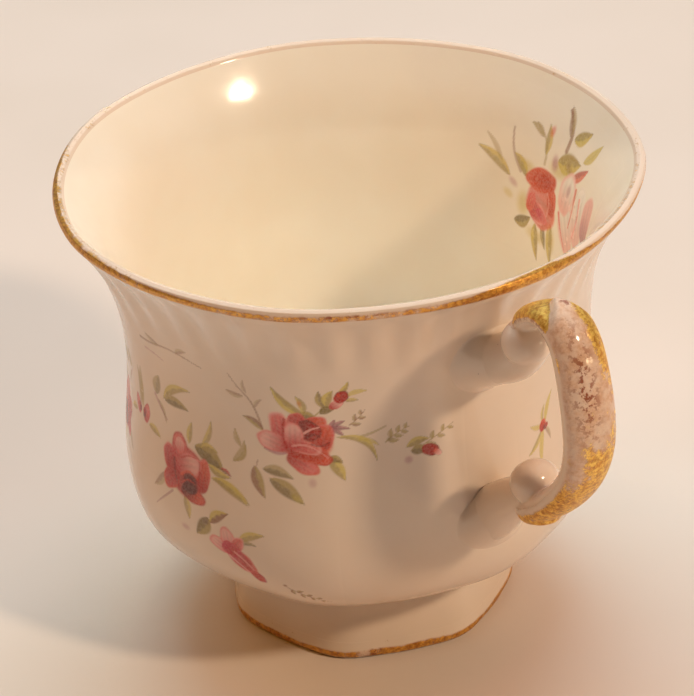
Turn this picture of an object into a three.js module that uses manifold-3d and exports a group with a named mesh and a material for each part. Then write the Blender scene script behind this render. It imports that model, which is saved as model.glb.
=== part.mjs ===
// A footed bone-china teacup: a lobed bowl with a flared lip, a lobed foot ring stuck under it, a cast
// C-scroll handle luted on with slip, and the decoration laid over the glaze: gilding on the lip, the foot
// and the back of the handle, and printed flower transfers outside and inside the wall.
// Millimetres, +Z up. The handle points along +X and the foot stands on Z = 0.
import * as THREE from "three";
import { mergeVertices } from "three/addons/utils/BufferGeometryUtils.js";
import Module from "manifold-3d";

const wasm = await Module();
wasm.setup();

// ---- driving dimensions ------------------------------------------------------------------------
const RIM_RADIUS = 43;
const RIM_HEIGHT = 73;
const LIP_THICKNESS = 1.6;
const LIP_ROUNDING = 0.7; // how far the wall stands in from the lip's edge where the flare ends
const FOOT_HEIGHT = 10;
const FOOT_RADIUS = 21.6;
const FOOT_TOP_RADIUS = 20.6;
const FOOT_TOP_INNER_RADIUS = 17.4;
const SOLE_RADII = [19, 20.9]; // inner and outer edge of the flat ring the cup stands on
const FLOOR_HEIGHT = 13.2; // inside of the bowl, at the axis
const WALL_THICKNESS = 2; // at the belly
const LOBES = 7; // soft vertical lobes, from the foot to the lip
const FOOT_LOBE_DEPTH = 0.42;
const RIM_LOBE_DEPTH = 0.16;
const LOBE_SHARPNESS = 0.2; // share of the second harmonic, which narrows the crests
const LOBE_TURN = THREE.MathUtils.degToRad(7.6); // from the handle to the nearest lobe's crest
const COLUMNS = 70; // facets around the bowl, a whole number for each lobe
const GILDING_THICKNESS = 0.12;
const TRANSFER_THICKNESS = 0.08;
const SLIP_GAP = 0.3; // between luted pieces

const STRAP_SIDES = 16;
const STRAP_STEPS = 40;
const ARM_SIDES = 16;
const ARM_STEPS = 9;
const COLLAR_STEPS = 6;
const VOLUTE_SIDES = 18;
const VOLUTE_STEPS = 12;
const VOLUTE_FULLNESS = 0.75; // 1 is an ellipsoid, less is closer to a barrel

// Outside of the bowl, from the foot joint up to the lip: radius, height.
const OUTER_PROFILE = [
  [FOOT_TOP_RADIUS, FOOT_HEIGHT],
  [22.9, 11.2],
  [26.6, 13.6],
  [31, 16.8],
  [34.1, 20.5],
  [35.8, 25.5],
  [36, 31],
  [35.1, 39],
  [34.7, 47],
  [35.4, 55],
  [37.2, 62],
  [39.6, 67.2],
  [RIM_RADIUS - LIP_ROUNDING, RIM_HEIGHT - 2],
];
const OUTER_STEPS = 15;
// Inside of the bowl, from under the lip down to the floor.
const INNER_PROFILE = [
  [RIM_RADIUS - LIP_THICKNESS - LIP_ROUNDING, RIM_HEIGHT - 1.9],
  [37.8, 67.2],
  [35.4, 62],
  [33.5, 55],
  [32.7, 47],
  [33, 39],
  [36 - WALL_THICKNESS, 31],
  [33.2, 25.6],
  [30.3, 20.6],
  [24.4, 16.2],
  [14, FLOOR_HEIGHT + 0.4],
];
const INNER_STEPS = 12;

// ---- materials ---------------------------------------------------------------------------------
const material = (color, roughness, metalness) =>
  new THREE.MeshStandardMaterial({ color, roughness, metalness });
const china = material(0xf2e9dd, 0.12, 0);
const slip = material(0xefe4d6, 0.16, 0);
const gold = material(0xb9782a, 0.34, 0.85);
const enamel = material(0xd98f86, 0.28, 0);

// ---- surfaces on a grid ------------------------------------------------------------------------
// A grid is { rows, columns, point(i, j), normal(i, j) }. Its columns close into a ring.
const wrap = (j, columns) => ((j % columns) + columns) % columns;

// How far a lobe stands out at an angle and a height, from its crest to the hollow between two.
function lobe(angle, height) {
  const phase = LOBES * (angle - LOBE_TURN);
  const depth = THREE.MathUtils.lerp(FOOT_LOBE_DEPTH, RIM_LOBE_DEPTH, height / RIM_HEIGHT);
  return depth * (Math.cos(phase) + LOBE_SHARPNESS * Math.cos(2 * phase));
}

// The grid of a section turned about the axis, with its lobes. A section runs with the solid on its left.
function turnedGrid(section, closed, lift = 0) {
  const rows = section.length;
  const at = (i) => section[closed ? wrap(i, rows) : THREE.MathUtils.clamp(i, 0, rows - 1)];
  const slope = (i) => {
    const [below, above] = [at(i - 1), at(i + 1)];
    return new THREE.Vector2(above[1] - below[1], below[0] - above[0]).normalize();
  };
  const normal = (i, j) => {
    const angle = (2 * Math.PI * wrap(j, COLUMNS)) / COLUMNS;
    const n = slope(i);
    return new THREE.Vector3(n.x * Math.cos(angle), n.x * Math.sin(angle), n.y);
  };
  const point = (i, j) => {
    const angle = (2 * Math.PI * wrap(j, COLUMNS)) / COLUMNS;
    const [r, z] = at(i);
    const radius = r === 0 ? 0 : r + lobe(angle, z);
    const p = new THREE.Vector3(radius * Math.cos(angle), radius * Math.sin(angle), z);
    return r === 0 ? p : p.addScaledVector(normal(i, j), lift);
  };
  return { rows, columns: COLUMNS, closed, section, point, normal };
}

function geometryOf(vertices, faces) {
  const g = new THREE.BufferGeometry();
  g.setAttribute("position", new THREE.Float32BufferAttribute(vertices.flatMap((v) => v.toArray()), 3));
  g.setIndex(faces.flat());
  g.computeVertexNormals();
  return g;
}

// Faces of one grid cell. Every piece that shares a wall cuts the cell along the same diagonal.
const cellFaces = (a, b, c, d) => [[a, b, c], [a, c, d]];

// A whole turned solid. An open section starts and ends on the axis.
function turnedSolid(grid) {
  const vertices = [];
  const faces = [];
  const first = grid.closed ? 0 : 1;
  const last = grid.closed ? grid.rows : grid.rows - 1;
  for (let i = first; i < last; i++) {
    for (let j = 0; j < COLUMNS; j++) vertices.push(grid.point(i, j));
  }
  const index = (i, j) => wrap(i - first, last - first) * COLUMNS + wrap(j, COLUMNS);
  const rings = grid.closed ? last : last - 1;
  for (let i = first; i < rings; i++) {
    for (let j = 0; j < COLUMNS; j++) {
      faces.push(...cellFaces(index(i, j), index(i, j + 1), index(i + 1, j + 1), index(i + 1, j)));
    }
  }
  if (!grid.closed) {
    const bottom = vertices.push(grid.point(0, 0)) - 1;
    const top = vertices.push(grid.point(grid.rows - 1, 0)) - 1;
    for (let j = 0; j < COLUMNS; j++) {
      faces.push([bottom, index(first, j + 1), index(first, j)]);
      faces.push([index(last - 1, j), index(last - 1, j + 1), top]);
    }
  }
  return geometryOf(vertices, faces);
}

// A thin closed film that lies on the chosen cells of a grid and shares the surface's own vertices.
function film(grid, rowFrom, rowTo, chosen, thickness) {
  const vertices = [];
  const faces = [];
  const known = new Map();
  const cell = (i, j) => i >= rowFrom && i < rowTo && chosen(i, wrap(j, grid.columns));
  const vertex = (i, j, side) => {
    const key = `${i},${wrap(j, grid.columns)},${side}`;
    if (!known.has(key)) {
      const p = grid.point(i, j);
      if (side === 1) p.addScaledVector(grid.normal(i, j), thickness);
      known.set(key, vertices.push(p) - 1);
    }
    return known.get(key);
  };
  const wall = (from, to) =>
    faces.push([vertex(...from, 0), vertex(...to, 0), vertex(...to, 1)],
      [vertex(...from, 0), vertex(...to, 1), vertex(...from, 1)]);
  for (let i = rowFrom; i < rowTo; i++) {
    for (let j = 0; j < grid.columns; j++) {
      if (!cell(i, j)) continue;
      const corners = [[i, j], [i, j + 1], [i + 1, j + 1], [i + 1, j]];
      faces.push(...cellFaces(...corners.map((c) => vertex(...c, 1))));
      const under = cellFaces(...corners.map((c) => vertex(...c, 0)));
      faces.push(...under.map(([p, q, r]) => [p, r, q]));
      if (!cell(i - 1, j)) wall(corners[0], corners[1]);
      if (!cell(i, j + 1)) wall(corners[1], corners[2]);
      if (!cell(i + 1, j)) wall(corners[2], corners[3]);
      if (!cell(i, j - 1)) wall(corners[3], corners[0]);
    }
  }
  return geometryOf(vertices, faces);
}

// ---- swept bars of the handle ------------------------------------------------------------------
// Each station is [x, z, half width across, half thickness in the handle's plane].
function barGrid(stations, sides, steps, from = 0, to = 1) {
  const centres = new THREE.CatmullRomCurve3(stations.map(([x, z]) => new THREE.Vector3(x, 0, z)));
  const halves = new THREE.CatmullRomCurve3(stations.map(([, , w, t]) => new THREE.Vector3(w, t, 0)));
  const rings = [];
  for (let i = 0; i <= steps; i++) {
    const u = from + ((to - from) * i) / steps;
    const centre = centres.getPoint(u);
    const along = centres.getTangent(u);
    const out = new THREE.Vector3(-along.z, 0, along.x);
    const half = halves.getPoint(u);
    const ring = [];
    for (let k = 0; k < sides; k++) {
      const a = (2 * Math.PI * k) / sides;
      const across = new THREE.Vector3(0, -half.x * Math.sin(a), 0);
      ring.push(centre.clone().addScaledVector(out, half.y * Math.cos(a)).add(across));
    }
    rings.push({ centre, ring });
  }
  const point = (i, j) => rings[i].ring[wrap(j, sides)].clone();
  const normal = (i, j) => point(i, j).sub(rings[i].centre).normalize();
  return { rows: steps + 1, columns: sides, rings, point, normal };
}

function barSolid({ rings, columns }) {
  const vertices = rings.flatMap(({ ring }) => ring);
  const faces = [];
  const index = (i, k) => i * columns + wrap(k, columns);
  for (let i = 0; i < rings.length - 1; i++) {
    for (let k = 0; k < columns; k++) {
      faces.push(...cellFaces(index(i, k), index(i, k + 1), index(i + 1, k + 1), index(i + 1, k)));
    }
  }
  const last = rings.length - 1;
  const start = vertices.push(rings[0].centre) - 1;
  const end = vertices.push(rings[last].centre) - 1;
  for (let k = 0; k < columns; k++) {
    faces.push([start, index(0, k + 1), index(0, k)], [end, index(last, k), index(last, k + 1)]);
  }
  return geometryOf(vertices, faces);
}

// ---- joining and cutting -----------------------------------------------------------------------
function solidOf(geometry) {
  const bare = geometry.clone();
  bare.deleteAttribute("normal");
  bare.deleteAttribute("uv");
  const merged = mergeVertices(bare, 1e-4);
  return new wasm.Manifold(
    new wasm.Mesh({
      numProp: 3,
      vertProperties: merged.attributes.position.array,
      triVerts: new Uint32Array(merged.index.array),
    }),
  );
}

function meshOf(solid) {
  const m = solid.getMesh();
  const g = new THREE.BufferGeometry();
  const positions = new Float32Array(m.numVert * 3);
  for (let i = 0; i < m.numVert; i++) {
    positions.set(m.vertProperties.subarray(i * m.numProp, i * m.numProp + 3), i * 3);
  }
  g.setAttribute("position", new THREE.BufferAttribute(positions, 3));
  g.setIndex(new THREE.BufferAttribute(m.triVerts, 1));
  g.computeVertexNormals();
  return g;
}

// ---- bowl and foot -----------------------------------------------------------------------------
function sampled(profile, steps) {
  const curve = new THREE.SplineCurve(profile.map(([r, z]) => new THREE.Vector2(r, z)));
  return curve.getSpacedPoints(steps).map((p) => [p.x, p.y]);
}

const outerRows = sampled(OUTER_PROFILE, OUTER_STEPS);
const innerRows = sampled(INNER_PROFILE, INNER_STEPS);
const bowlSection = [
  [0, FOOT_HEIGHT],
  [FOOT_TOP_INNER_RADIUS, FOOT_HEIGHT],
  ...outerRows,
  [RIM_RADIUS, RIM_HEIGHT - 0.6],
  [RIM_RADIUS - 0.35, RIM_HEIGHT - 0.12],
  [RIM_RADIUS - LIP_THICKNESS / 2, RIM_HEIGHT],
  [RIM_RADIUS - LIP_THICKNESS, RIM_HEIGHT - 0.5],
  ...innerRows,
  [0, FLOOR_HEIGHT],
];
const FIRST_OUTER_ROW = 2;
const GILT_RIM_ROW = FIRST_OUTER_ROW + OUTER_STEPS; // the gilding starts where the flare ends
const GILT_RIM_CELLS = 2; // and covers these up to the lip's shoulder
const LIP_ROWS = 5; // from the gilding's first row over the lip to the inner wall's
const FIRST_INNER_ROW = GILT_RIM_ROW + LIP_ROWS;
const bowlGrid = turnedGrid(bowlSection, false);

// The ring under the bowl, a closed section: flat sole, gilded edge, neck, flat top, hollow inside.
const FOOT_SECTION = [
  [SOLE_RADII[0], 0],
  [SOLE_RADII[1], 0],
  [FOOT_RADIUS, 0.5],
  [FOOT_RADIUS - 0.1, 2.2],
  [FOOT_RADIUS - 0.5, 4.8],
  [FOOT_RADIUS - 0.9, 7.8],
  [FOOT_TOP_RADIUS, FOOT_HEIGHT],
  [FOOT_TOP_INNER_RADIUS, FOOT_HEIGHT],
  [17.7, 6],
  [18.4, 1.2],
];
const GILT_FOOT_ROW = 2;
const footGrid = turnedGrid(FOOT_SECTION, true);

const rimGilding = () =>
  film(bowlGrid, GILT_RIM_ROW, GILT_RIM_ROW + GILT_RIM_CELLS, () => true, GILDING_THICKNESS);
const footGilding = () =>
  film(footGrid, GILT_FOOT_ROW, GILT_FOOT_ROW + 1, () => true, GILDING_THICKNESS);

// ---- flower transfers --------------------------------------------------------------------------
// Each covers a rounded patch of the wall: centre angle from the handle and half angle in degrees, centre
// height and half height. Angles run anticlockwise seen from above.
const OUTSIDE_TRANSFERS = {
  front_rose_transfer: [-36.5, 27, 48, 12.5],
  left_rose_transfer: [-81, 16.5, 46.5, 14.5],
  rosebud_transfer: [-59, 17, 23, 8],
  side_rose_transfer: [-117, 16, 37, 10],
  handle_side_transfer: [18, 10, 40.5, 8],
  rear_rose_transfer: [119, 26, 48, 12],
  rear_bud_transfer: [166, 16, 33, 8.5],
};
const INSIDE_TRANSFER = [84, 29, 58.5, 12];
const TRANSFER_SQUARENESS = 3; // 2 is an ellipse, more is closer to a rectangle

function transfer([angle, halfAngle, height, halfHeight], rowFrom, rowTo) {
  const chosen = (i, j) => {
    const middle = (bowlSection[i][1] + bowlSection[i + 1][1]) / 2;
    const turn = ((j + 0.5) * 360) / COLUMNS - angle;
    const away = turn - 360 * Math.round(turn / 360);
    const across = Math.abs(away / halfAngle) ** TRANSFER_SQUARENESS;
    const up = Math.abs((middle - height) / halfHeight) ** TRANSFER_SQUARENESS;
    return across + up < 1;
  };
  return film(bowlGrid, rowFrom, rowTo, chosen, TRANSFER_THICKNESS);
}

// ---- handle ------------------------------------------------------------------------------------
// The gilded strap, from the upper volute over the thumb crest and round to the lower volute.
const STRAP = [
  [46.6, 65.2, 2.2, 1.5],
  [48.4, 68.7, 3, 2.1],
  [52.4, 71.8, 3.5, 2.5],
  [56.7, 70.3, 3.5, 2.5],
  [58.8, 65.2, 3.5, 2.3],
  [60.2, 60, 3.5, 2.3],
  [60.2, 55, 3.5, 2.3],
  [58.5, 50, 3.5, 2.3],
  [55.4, 45.3, 3.4, 2.3],
  [51.2, 41.4, 3.4, 2.3],
  [47.2, 38.8, 3.2, 2.3],
  [43.8, 38.7, 2.8, 2],
  [42.6, 40.2, 2.2, 1.5],
];
const UPPER_VOLUTE = { x: 46.6, z: 65.6, radius: 3.2, halfWidth: 3.9 };
const LOWER_VOLUTE = { x: 46.9, z: 42.7, radius: 3, halfWidth: 3.5 };
// The arms run from inside the bowl's wall to the strap. The part next to the wall is the slip collar.
const UPPER_ARM = [
  [32.5, 58.3, 5.2, 5.2],
  [36.4, 58.4, 4, 4.1],
  [41.5, 60.2, 3.5, 3.5],
  [47.5, 64.4, 3.3, 3.2],
  [55, 69.2, 3.1, 2.2],
];
const LOWER_ARM = [
  [32.5, 29.2, 5.4, 5.4],
  [36, 32, 4, 4.1],
  [39.4, 35.2, 3.5, 3.5],
  [42.8, 38, 3.2, 3],
  [46.6, 40.6, 2.8, 2.2],
];
const UPPER_COLLAR_END = 0.4; // share of the arm's length where the collar ends
const LOWER_COLLAR_END = 0.49;
const COLLAR_CLEARANCE = 0.02; // the same share between collar and casting
const GILT_FACE_CELLS = 4; // gilded cells on each side of the strap's middle line
const GILT_STRAP_START = 4; // gilded steps of the strap, clear of both volutes
const GILT_STRAP_END = STRAP_STEPS - 5;

const strapGrid = barGrid(STRAP, STRAP_SIDES, STRAP_STEPS);

// The eye of a volute: a short barrel across the handle with well-rounded ends.
function volute({ x, z, radius, halfWidth }) {
  const profile = [];
  for (let i = 0; i <= VOLUTE_STEPS; i++) {
    const a = (Math.PI * i) / VOLUTE_STEPS - Math.PI / 2;
    profile.push(new THREE.Vector2(
      i % VOLUTE_STEPS === 0 ? 0 : radius * Math.cos(a) ** VOLUTE_FULLNESS,
      halfWidth * Math.sign(a) * Math.abs(Math.sin(a)) ** VOLUTE_FULLNESS,
    ));
  }
  return new THREE.LatheGeometry(profile, VOLUTE_SIDES).translate(x, 0, z);
}

function handleCasting() {
  const arm = (stations, end) =>
    barSolid(barGrid(stations, ARM_SIDES, ARM_STEPS, end + COLLAR_CLEARANCE, 1));
  return [
    arm(UPPER_ARM, UPPER_COLLAR_END),
    arm(LOWER_ARM, LOWER_COLLAR_END),
    volute(UPPER_VOLUTE),
    volute(LOWER_VOLUTE),
  ].reduce((whole, piece) => whole.add(solidOf(piece)), solidOf(barSolid(strapGrid)));
}

// The gilding covers the strap's outer face, clear of both volutes.
function handleGilding() {
  const outerFace = (i, j) => j < GILT_FACE_CELLS || j >= STRAP_SIDES - GILT_FACE_CELLS;
  return film(strapGrid, GILT_STRAP_START, GILT_STRAP_END, outerFace, GILDING_THICKNESS);
}

// The bowl as a plain solid, grown by the slip gap, to cut the collars with.
function bowlCutter() {
  const outside = bowlSection.slice(0, GILT_RIM_ROW + GILT_RIM_CELLS);
  return solidOf(turnedSolid(turnedGrid([...outside, [0, RIM_HEIGHT]], false, SLIP_GAP)));
}

function slipCollar(stations, end, cutter) {
  return solidOf(barSolid(barGrid(stations, ARM_SIDES, COLLAR_STEPS, 0, end))).subtract(cutter);
}

// ---- the cup -----------------------------------------------------------------------------------
function named(name, geometry, finish) {
  const mesh = new THREE.Mesh(geometry, finish);
  mesh.name = name;
  return mesh;
}

function teacup() {
  const cup = new THREE.Group();
  const cutter = bowlCutter();
  const insideTransfer = transfer(INSIDE_TRANSFER, FIRST_INNER_ROW, FIRST_INNER_ROW + INNER_STEPS);
  cup.add(
    named("bowl", turnedSolid(bowlGrid), china),
    named("foot_ring", turnedSolid(footGrid), china),
    named("handle", meshOf(handleCasting()), china),
    named("upper_handle_joint", meshOf(slipCollar(UPPER_ARM, UPPER_COLLAR_END, cutter)), slip),
    named("lower_handle_joint", meshOf(slipCollar(LOWER_ARM, LOWER_COLLAR_END, cutter)), slip),
    named("rim_gilding", rimGilding(), gold),
    named("foot_gilding", footGilding(), gold),
    named("handle_gilding", handleGilding(), gold),
    named("inner_rose_transfer", insideTransfer, enamel),
  );
  for (const [name, oval] of Object.entries(OUTSIDE_TRANSFERS)) {
    cup.add(named(name, transfer(oval, FIRST_OUTER_ROW, GILT_RIM_ROW), enamel));
  }
  return cup;
}

// The origin is the middle of the box's base, so the cup's axis stands to the side away from the handle.
function centred(cup) {
  const middle = new THREE.Box3().setFromObject(cup).getCenter(new THREE.Vector3());
  cup.position.set(-middle.x, -middle.y, 0);
  const part = new THREE.Group();
  part.add(cup);
  return part;
}

export default centred(teacup());
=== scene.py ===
"""A footed bone-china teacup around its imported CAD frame: fluted and lobed china, a cast handle with two
volutes and a thumb crest, worn gold, and printed rose sprays.

Sizes are millimetres about the bowl's axis, and `placed` turns them into the frame's metres. Angles are
degrees anticlockwise from the handle, seen from above."""
import math

import bpy
import numpy as np
from mathutils import Matrix, Vector


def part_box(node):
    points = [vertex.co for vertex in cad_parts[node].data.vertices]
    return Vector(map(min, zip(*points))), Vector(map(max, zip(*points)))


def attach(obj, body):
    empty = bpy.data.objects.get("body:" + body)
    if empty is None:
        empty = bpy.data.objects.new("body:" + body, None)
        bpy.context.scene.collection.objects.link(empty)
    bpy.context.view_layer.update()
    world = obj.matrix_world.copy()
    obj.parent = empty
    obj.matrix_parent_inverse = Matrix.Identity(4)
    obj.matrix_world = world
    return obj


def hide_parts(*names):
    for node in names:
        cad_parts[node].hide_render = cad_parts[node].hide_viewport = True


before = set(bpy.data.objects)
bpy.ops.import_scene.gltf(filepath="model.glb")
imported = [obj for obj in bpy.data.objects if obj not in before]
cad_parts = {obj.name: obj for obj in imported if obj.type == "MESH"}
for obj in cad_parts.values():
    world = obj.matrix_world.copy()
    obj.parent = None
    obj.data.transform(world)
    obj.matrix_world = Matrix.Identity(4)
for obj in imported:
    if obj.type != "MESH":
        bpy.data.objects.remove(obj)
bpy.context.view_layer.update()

MM = 0.001

# ---- the cup's measures ----
LOW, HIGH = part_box("bowl")
AXIS = Vector(((LOW.x + HIGH.x) / 2, (LOW.y + HIGH.y) / 2, 0))
RIM_HEIGHT = HIGH.z / MM
FOOT_HEIGHT = LOW.z / MM
LOBES = 7
LOBE_TURN = 7.6  # degrees from the handle to the first lobe
FOOT_LOBE_DEPTH = 0.42
RIM_LOBE_DEPTH = 0.16
FLUTES_PER_LOBE = 6
FLUTE_DEPTH = 0.2
FLUTE_HEIGHTS = (56, 66, 69.5, 71.5)  # they grow over the first two and fade out over the last two
FILM, FILM_SINK = 0.02, 0.03  # how far gold and enamel stand on the glaze, and reach into it

# Profiles as rows of radius and height.
OUTER_PROFILE = [
    (20.72, 9.3), (21.2, 10.1), (22.9, 11.2), (26.6, 13.6), (31, 16.8), (34.1, 20.5), (35.8, 25.5), (36, 31),
    (35.1, 39), (34.7, 47), (35.4, 55), (37.2, 62), (39.6, 67.2), (42.3, 71), (42.95, 72.2), (42.75, 72.75),
    (42.25, 73), (41.7, 72.85), (41.2, 72.3),
]
INNER_PROFILE = [
    (40.6, 71.45), (39.3, 69.6), (37.5, 66.8), (35.3, 62), (33.5, 55), (32.7, 47), (33, 39), (34, 31),
    (33.2, 25.6), (30.3, 20.6), (24.4, 16.2), (14, 13.6), (6, 13.25), (0, 13.2),
]
FOOT_PROFILE = [
    (20.4, 10.6), (20.55, 9.4), (20.7, 7.8), (21.1, 4.8), (21.5, 2.2), (21.62, 1.0), (21.35, 0.35),
    (20.8, 0.02), (20.3, 0), (19.4, 0), (18.9, 0.15), (18.5, 0.8), (17.9, 4), (17.5, 7.5), (17.3, 10.6),
]
BOWL_FLOOR = [(0, FOOT_HEIGHT), (16.5, FOOT_HEIGHT), (20.0, 9.6)]  # the underside, inside the foot ring


# ---- curves and grids ----
def length_along(points):
    """How far along its curve each point lies."""
    return np.concatenate([[0], np.cumsum(np.linalg.norm(np.diff(points, axis=0), axis=1))])


def unit(vectors):
    return vectors / np.linalg.norm(vectors, axis=1)[:, None]


def spline(points, samples):
    """A smooth curve (continuous curvature) through points, evenly sampled along its length."""
    p = np.array(points, float)
    t = length_along(p)
    n, h = len(t), np.diff(t)
    system, right = np.zeros((n, n)), np.zeros((n, p.shape[1]))
    system[0, 0] = system[-1, -1] = 1
    for i in range(1, n - 1):
        system[i, i - 1:i + 2] = h[i - 1], 2 * (h[i - 1] + h[i]), h[i]
        right[i] = 6 * ((p[i + 1] - p[i]) / h[i] - (p[i] - p[i - 1]) / h[i - 1])
    bend = np.linalg.solve(system, right)

    def at(x):
        i = np.clip(np.searchsorted(t, x, side="right") - 1, 0, n - 2)
        a, b, w = (t[i + 1] - x)[:, None], (x - t[i])[:, None], h[i][:, None]
        return ((bend[i] * a**3 + bend[i + 1] * b**3) / (6 * w)
                + (p[i] / w - bend[i] * w / 6) * a + (p[i + 1] / w - bend[i + 1] * w / 6) * b)

    fine = at(np.linspace(0, t[-1], 2000))
    length = length_along(fine)
    steps = np.linspace(0, length[-1], samples)
    return np.stack([np.interp(steps, length, fine[:, k]) for k in range(p.shape[1])], axis=1)


def smoothstep(low, high, x):
    t = np.clip((x - low) / (high - low), 0, 1)
    return t * t * (3 - 2 * t)


def falling(low, high, x):
    return 1 - smoothstep(low, high, x)


def relief(angle, height, outside):
    """How far the lobes stand out at an angle in degrees, with the flutes on the outside only."""
    phase = np.radians(LOBES * (angle - LOBE_TURN))
    depth = FOOT_LOBE_DEPTH + (RIM_LOBE_DEPTH - FOOT_LOBE_DEPTH) * height / RIM_HEIGHT
    fluted = smoothstep(*FLUTE_HEIGHTS[:2], height) * falling(*FLUTE_HEIGHTS[2:], height)
    flute = FLUTE_DEPTH * fluted * outside * np.cos(FLUTES_PER_LOBE * phase)
    return depth * (np.cos(phase) + 0.2 * np.cos(2 * phase)) + flute


def turned(section, angles, lift=0.0):
    """Grid of points where a section (rows of radius, height) stands at each angle, lifted off the surface.
    Where the section climbs, it is the outside of a wall."""
    section, angles = np.asarray(section, float), np.asarray(angles, float)
    step = unit(np.gradient(section, axis=0))
    stands_out = relief(angles[None], section[:, 1, None], step[:, 1, None] > 0)
    r = section[:, 0, None] + stands_out * smoothstep(0, 14, section[:, 0, None])
    r = r + lift * step[:, 1, None]
    z = section[:, 1, None] - lift * step[:, 0, None] + 0 * r
    a = np.radians(angles)[None]
    return np.stack([r * np.cos(a), r * np.sin(a), z], axis=-1)


def grid_faces(rows, columns, closed):
    """Quads between the rows of a grid, whose columns may close into a ring."""
    i, j = np.meshgrid(np.arange(rows - 1), np.arange(columns if closed else columns - 1), indexing="ij")
    k = (j + 1) % columns
    here, below = i * columns, (i + 1) * columns
    return np.stack([here + j, here + k, below + k, below + j], -1).reshape(-1, 4)


def capped(points):
    """Points and faces of a tube of closed rings, with a fan at each end."""
    rows, sides, _ = points.shape
    flat = points.reshape(-1, 3)
    ends = np.stack([points[0].mean(axis=0), points[-1].mean(axis=0)])
    faces = grid_faces(rows, sides, True).tolist()
    last = (rows - 1) * sides
    for j in range(sides):
        k = (j + 1) % sides
        faces.append([len(flat), k, j])
        faces.append([len(flat) + 1, last + j, last + k])
    return np.concatenate([flat, ends]), faces


def placed(points):
    """Millimetres about the axis as metres in the frame."""
    return np.asarray(points, float).reshape(-1, 3) * MM + np.array(AXIS)


def mesh_piece(name, points, faces, material):
    """A new object from points in millimetres."""
    mesh = bpy.data.meshes.new(name)
    mesh.from_pydata(placed(points).tolist(), [], [list(map(int, f)) for f in faces])
    mesh.validate()
    mesh.update()
    mesh.shade_smooth()
    piece = bpy.data.objects.new(name, mesh)
    bpy.context.scene.collection.objects.link(piece)
    mesh.materials.append(material)
    return piece


def stand_for(piece, slot, *nodes):
    """The piece rides on the cup's one body and replaces CAD nodes; its slot is not used."""
    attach(piece, "root")
    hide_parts(*nodes)
    return piece


# ---- colour and materials ----
def linear(red, green, blue):
    """Linear colour from 0 to 255 display values."""
    c = np.array([red, green, blue], float) / 255
    return np.where(c <= 0.04045, c / 12.92, ((c + 0.055) / 1.055) ** 2.4)


# The outer china is a darker, warmer copy of the inner china: painted shade for the shade that lies on the
# outer wall.
INNER_CHINA = linear(249, 242, 228)
OUTER_CHINA_PAINTED_SHADE = linear(234, 216, 199)
GLAZE_ROUGHNESS = 0.1


class Nodes:
    """The node tree of a material or the world, with short ways to add and join nodes."""

    def __init__(self, owner):
        owner.use_nodes = True
        self.owner, self.tree = owner, owner.node_tree
        self.shader = self.tree.nodes.get("Principled BSDF")
        self.place = self.add("ShaderNodeTexCoord").outputs

    def add(self, kind, **values):
        node = self.tree.nodes.new(kind)
        for key, value in values.items():
            setattr(node, key, value)
        return node

    def join(self, source, socket):
        if isinstance(source, bpy.types.NodeSocket):
            self.tree.links.new(source, socket)
        else:
            socket.default_value = source

    def join_all(self, sources, node):
        for source, socket in zip(sources, node.inputs):
            self.join(source, socket)
        return node.outputs

    def noise(self, size, detail=3.0, roughness=0.55):
        """Noise from 0 to 1 whose features are about size millimetres."""
        scaled = self.add("ShaderNodeMapping")
        self.join(self.place["Object"], scaled.inputs["Vector"])
        scaled.inputs["Scale"].default_value = [1 / (size * MM)] * 3
        node = self.add("ShaderNodeTexNoise")
        self.join(scaled.outputs[0], node.inputs["Vector"])
        node.inputs["Scale"].default_value = 1.0
        node.inputs["Detail"].default_value = detail
        node.inputs["Roughness"].default_value = roughness
        return node.outputs["Fac"]

    def ramp(self, value, low, high, to_low=0.0, to_high=1.0):
        node = self.add("ShaderNodeMapRange", interpolation_type="SMOOTHSTEP")
        return self.join_all((value, low, high, to_low, to_high), node)[0]

    def math(self, operation, a, b=0.0):
        return self.join_all((a, b), self.add("ShaderNodeMath", operation=operation))[0]

    def mix(self, factor, a, b):
        node = self.add("ShaderNodeMix", data_type="RGBA")
        self.join(factor, node.inputs[0])
        for colour, socket in ((a, node.inputs[6]), (b, node.inputs[7])):
            self.join(colour if isinstance(colour, bpy.types.NodeSocket) else (*colour, 1), socket)
        return node.outputs[2]

    def attribute(self, name):
        return self.add("ShaderNodeAttribute", attribute_name=name).outputs

    def bump(self, height, distance):
        """Bump of a height from 0 to 1, distance millimetres deep."""
        node = self.add("ShaderNodeBump")
        self.join(height, node.inputs["Height"])
        node.inputs["Distance"].default_value = distance * MM
        self.join(node.outputs[0], self.shader.inputs["Normal"])

    def finish(self, colour, roughness, metallic=0.0):
        self.join(colour, self.shader.inputs["Base Color"])
        self.join(roughness, self.shader.inputs["Roughness"])
        self.join(metallic, self.shader.inputs["Metallic"])
        return self.owner


def glaze_ground(nodes, china=OUTER_CHINA_PAINTED_SHADE):
    """The warm china under its glaze: colour with faint clouding, and roughness. Its default china is the
    outer one, with painted shade.
    """
    clouds = nodes.noise(14, detail=2)
    colour = nodes.mix(nodes.ramp(clouds, 0.35, 0.65), china, china * np.array([0.985, 0.97, 0.95]))
    rough = nodes.ramp(nodes.noise(5), 0.3, 0.7, GLAZE_ROUGHNESS, GLAZE_ROUGHNESS + 0.05)
    return colour, rough


def china_material(name, specks=0.0, china=OUTER_CHINA_PAINTED_SHADE):
    """Glazed bone china. specks is how many small dark pits show, from 0 to 1. By default it is the outer
    china, with painted shade.
    """
    nodes = Nodes(bpy.data.materials.new(name))
    colour, rough = glaze_ground(nodes, china)
    if specks:
        pits = nodes.ramp(nodes.noise(0.7, detail=1), 0.79 - 0.05 * specks, 0.83 - 0.05 * specks)
        colour = nodes.mix(nodes.math("MULTIPLY", pits, 0.6), colour, linear(120, 92, 74))
    nodes.bump(nodes.noise(3.2, detail=1), 0.012)
    return nodes.finish(colour, rough)


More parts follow.
